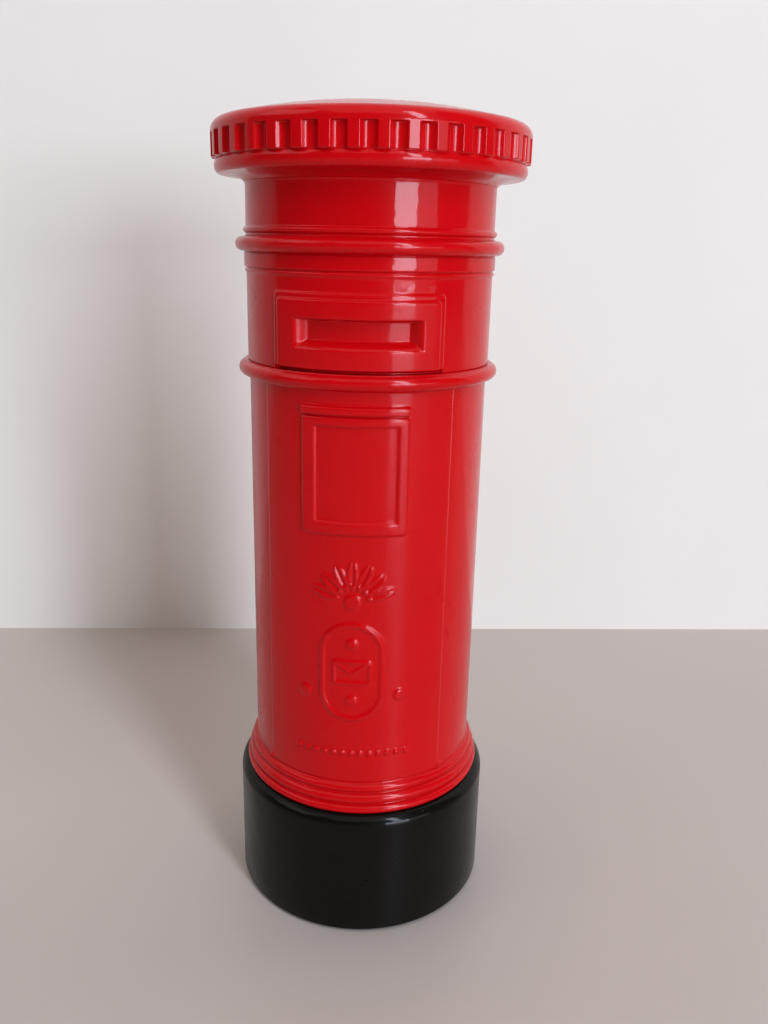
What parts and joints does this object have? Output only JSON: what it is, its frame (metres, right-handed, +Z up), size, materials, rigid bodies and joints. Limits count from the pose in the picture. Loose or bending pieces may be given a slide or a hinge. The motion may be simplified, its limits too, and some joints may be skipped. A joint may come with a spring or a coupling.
{
  "type": "money box",
  "caption": "Pillar-shaped money box with a domed roof, a coin slot at the back and a locking trap in the base.",
  "frame": {"origin": "middle of the underside, where the felt ring rests on the table", "axes": "+Z up along the pillar, -Y out of the front with the posting plate, +X to the right seen from the front"},
  "size_m": [0.0594, 0.0594, 0.162],
  "materials": {
    "red_enamel": "gloss red stoving enamel on die-cast zinc",
    "black_enamel": "gloss black stoving enamel on die-cast zinc",
    "plated_steel": "bright zinc-plated steel",
    "lock_brass": "machined brass, lightly tarnished",
    "felt": "pressed wool felt, dark green"
  },
  "bodies": {
    "casing": {"roof_cap": "red_enamel", "head": "red_enamel", "body": "red_enamel", "base": "black_enamel", "tie_rod": "plated_steel", "tie_bar": "plated_steel", "tie_washer": "plated_steel", "tie_nut": "plated_steel", "bottom_plate": "plated_steel", "plate_screws": "plated_steel", "felt_ring": "felt", "hinge_pin": "plated_steel"},
    "trap": {"trap_door": "plated_steel", "lock_sleeve": "lock_brass", "lock_nut": "lock_brass"},
    "lock": {"lock_plug": "lock_brass", "lock_cam": "plated_steel", "cam_screw": "plated_steel"}
  },
  "joints": [
    {"name": "trap_hinge", "type": "hinge", "parent": "casing", "child": "trap", "pos_m": [0, 0.0196, 0.0026], "axis": [1, 0, 0], "range_deg": [0, 110]},
    {"name": "lock_turn", "type": "hinge", "parent": "trap", "child": "lock", "pos_m": [0, -0.0065, 0.00185], "axis": [0, 0, -1], "range_deg": [0, 90]}
  ]
}
